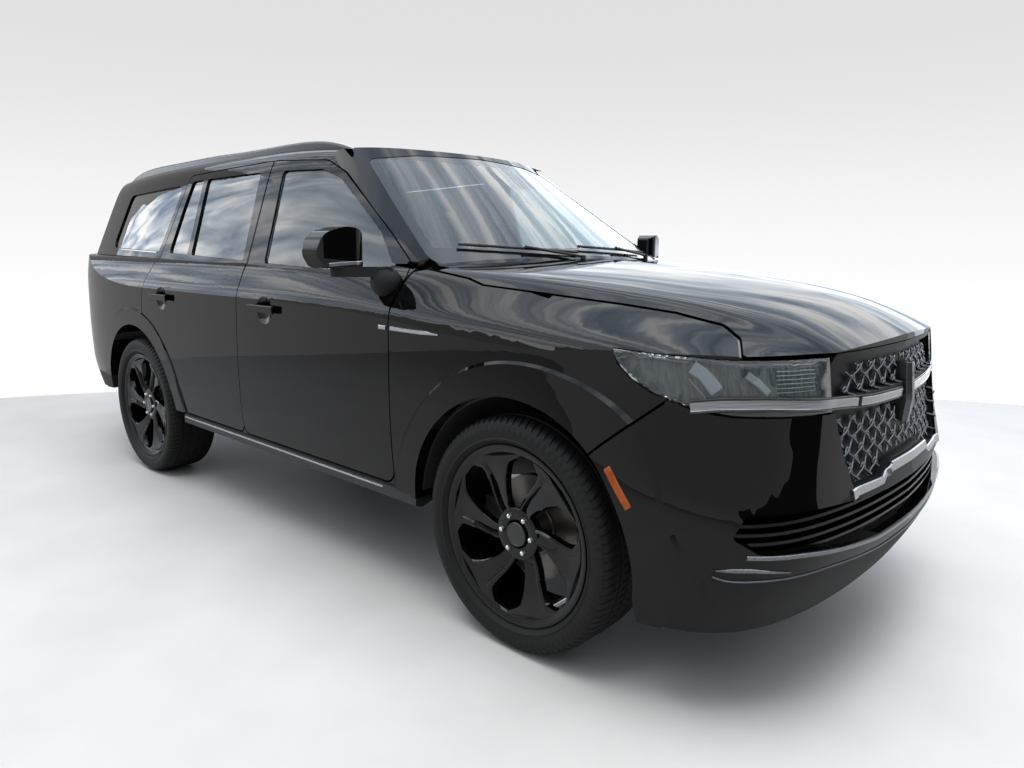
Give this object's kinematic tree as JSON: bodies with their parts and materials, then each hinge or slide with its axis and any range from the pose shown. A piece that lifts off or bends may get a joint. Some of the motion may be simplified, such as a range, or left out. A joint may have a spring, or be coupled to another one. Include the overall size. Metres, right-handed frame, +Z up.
{
  "type": "full-size sport utility vehicle",
  "caption": "Full-size sport utility vehicle with hinged doors, hood, split rear gates, steered front wheels and free-turning road wheels.",
  "frame": {"origin": "on the ground at the middle of the overall length and width", "axes": "+X forward, +Y to the vehicle's left, +Z up"},
  "size_m": [5.3278, 2.3722, 1.903],
  "materials": {
    "gloss_black_paint": "gloss clear coat over black",
    "gloss_black_trim": "gloss",
    "black_plastic": "fine moulded grain",
    "dark_chrome": "smoked chrome",
    "lamp_lens": "clear moulded lens",
    "red_lens": "red moulded lens",
    "clear_glass": "lightly tinted glass",
    "privacy_glass": "dark privacy glass",
    "chassis_steel": "satin black",
    "cast_parts": "as cast",
    "cast_aluminium": "as cast",
    "exhaust_steel": "dull",
    "seat_leather": "fine grain",
    "cabin_plastic": "soft touch",
    "wheel_paint": "gloss black paint",
    "tyre_rubber": "satin"
  },
  "bodies": {
    "body": {"body_shell": "gloss_black_paint", "front_fenders": "gloss_black_paint", "front_bumper": "gloss_black_paint", "grille": "dark_chrome", "headlamps": "lamp_lens", "windshield": "clear_glass", "roof_glass": "privacy_glass", "quarter_glass": "privacy_glass", "rear_bumper": "gloss_black_paint", "tail_lamps": "red_lens", "roof_rails": "gloss_black_trim", "running_boards": "black_plastic", "frame_rails": "chassis_steel", "cross_members": "chassis_steel", "front_suspension": "cast_parts", "rear_suspension": "cast_parts", "engine_block": "cast_aluminium", "driveline": "cast_aluminium", "exhaust": "exhaust_steel", "wheelhouse_liners": "black_plastic", "front_seats": "seat_leather", "rear_seats": "seat_leather", "dashboard": "cabin_plastic", "wipers": "black_plastic"},
    "hood": {"hood": "gloss_black_paint"},
    "liftgate": {"liftgate": "gloss_black_paint", "liftgate_glass": "privacy_glass", "liftgate_lamp": "red_lens"},
    "tailgate": {"tailgate": "gloss_black_paint"},
    "door_front_right": {"door_front_right": "gloss_black_paint", "glass_front_right": "clear_glass", "mirror_right": "gloss_black_paint"},
    "door_rear_right": {"door_rear_right": "gloss_black_paint", "glass_rear_right": "privacy_glass"},
    "steer_right": {"knuckle_front_right": "cast_parts"},
    "wheel_front_right": {"rim_front_right": "wheel_paint", "tyre_front_right": "tyre_rubber"},
    "wheel_rear_right": {"rim_rear_right": "wheel_paint", "tyre_rear_right": "tyre_rubber"},
    "door_front_left": {"door_front_left": "gloss_black_paint", "glass_front_left": "clear_glass", "mirror_left": "gloss_black_paint"},
    "door_rear_left": {"door_rear_left": "gloss_black_paint", "glass_rear_left": "privacy_glass"},
    "steer_left": {"knuckle_front_left": "cast_parts"},
    "wheel_front_left": {"rim_front_left": "wheel_paint", "tyre_front_left": "tyre_rubber"},
    "wheel_rear_left": {"rim_rear_left": "wheel_paint", "tyre_rear_left": "tyre_rubber"}
  },
  "joints": [
    {"name": "hood_lift", "type": "hinge", "parent": "body", "child": "hood", "pos_m": [1.15, 0, 1.352], "axis": [0, -1, 0], "range_deg": [0, 50]},
    {"name": "liftgate_lift", "type": "hinge", "parent": "body", "child": "liftgate", "pos_m": [-2.305, 0, 1.868], "axis": [0, 1, 0], "range_deg": [0, 85]},
    {"name": "tailgate_drop", "type": "hinge", "parent": "body", "child": "tailgate", "pos_m": [-2.667, 0, 0.7], "axis": [0, -1, 0], "range_deg": [0, 90]},
    {"name": "door_front_right_swing", "type": "hinge", "parent": "body", "child": "door_front_right", "pos_m": [1.054, -1.014, 0.9], "axis": [0, 0, 1], "range_deg": [0, 70]},
    {"name": "door_rear_right_swing", "type": "hinge", "parent": "body", "child": "door_rear_right", "pos_m": [-0.153, -1.014, 0.9], "axis": [0, 0, 1], "range_deg": [0, 70]},
    {"name": "steer_right", "type": "hinge", "parent": "body", "child": "steer_right", "pos_m": [1.672, -0.78, 0.419], "axis": [0, 0, 1], "range_deg": [-35, 35]},
    {"name": "wheel_front_right_spin", "type": "hinge", "parent": "steer_right", "child": "wheel_front_right", "pos_m": [1.672, -0.856, 0.419], "axis": [0, 1, 0], "continuous": true},
    {"name": "wheel_rear_right_spin", "type": "hinge", "parent": "body", "child": "wheel_rear_right", "pos_m": [-1.44, -0.856, 0.419], "axis": [0, 1, 0], "continuous": true},
    {"name": "door_front_left_swing", "type": "hinge", "parent": "body", "child": "door_front_left", "pos_m": [1.054, 1.014, 0.9], "axis": [0, 0, -1], "range_deg": [0, 70]},
    {"name": "door_rear_left_swing", "type": "hinge", "parent": "body", "child": "door_rear_left", "pos_m": [-0.153, 1.014, 0.9], "axis": [0, 0, -1], "range_deg": [0, 70]},
    {"name": "steer_left", "type": "hinge", "parent": "body", "child": "steer_left", "pos_m": [1.672, 0.78, 0.419], "axis": [0, 0, 1], "range_deg": [-35, 35]},
    {"name": "wheel_front_left_spin", "type": "hinge", "parent": "steer_left", "child": "wheel_front_left", "pos_m": [1.672, 0.856, 0.419], "axis": [0, 1, 0], "continuous": true},
    {"name": "wheel_rear_left_spin", "type": "hinge", "parent": "body", "child": "wheel_rear_left", "pos_m": [-1.44, 0.856, 0.419], "axis": [0, 1, 0], "continuous": true}
  ],
  "couplings": [
    {"joint": "steer_right", "follows": "steer_left", "ratio": 1}
  ]
}
